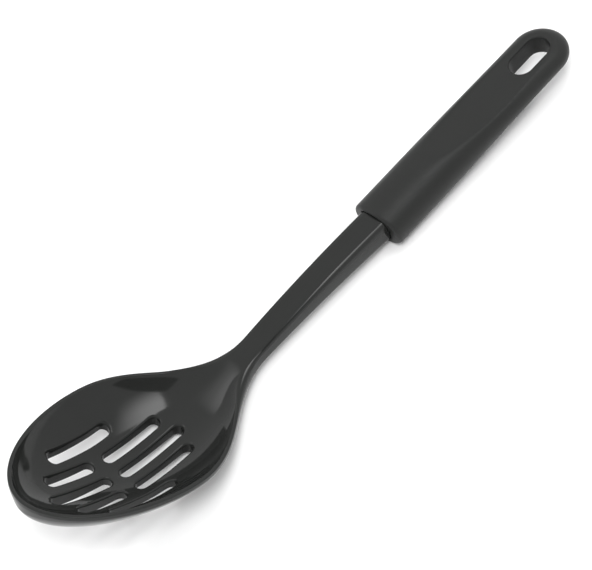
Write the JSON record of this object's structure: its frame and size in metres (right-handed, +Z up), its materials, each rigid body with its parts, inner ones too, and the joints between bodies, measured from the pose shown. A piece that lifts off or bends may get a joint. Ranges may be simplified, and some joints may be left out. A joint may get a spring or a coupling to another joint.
{
  "type": "slotted spoon",
  "caption": "Slotted kitchen spoon for lifting food out of liquid: an oval bowl with drain slots on a cranked stem, set in a moulded grip with a thumb scoop and a hang slot.",
  "frame": {"origin": "centre of the bounding box in X and Y, on the table plane that the spoon rests on", "axes": "+X from the tip of the bowl to the end of the grip, +Z up with the bowl open upwards, +Y to the left of someone who looks from the tip to the grip"},
  "size_m": [0.3152, 0.074, 0.0483],
  "materials": {
    "head_nylon": "moulded charcoal nylon, glossy in the bowl and semi-gloss on the stem",
    "grip_plastic": "moulded charcoal polypropylene with a fine matte grain"
  },
  "bodies": {
    "root": {"spoon_head": "head_nylon", "grip": "grip_plastic"}
  },
  "joints": []
}
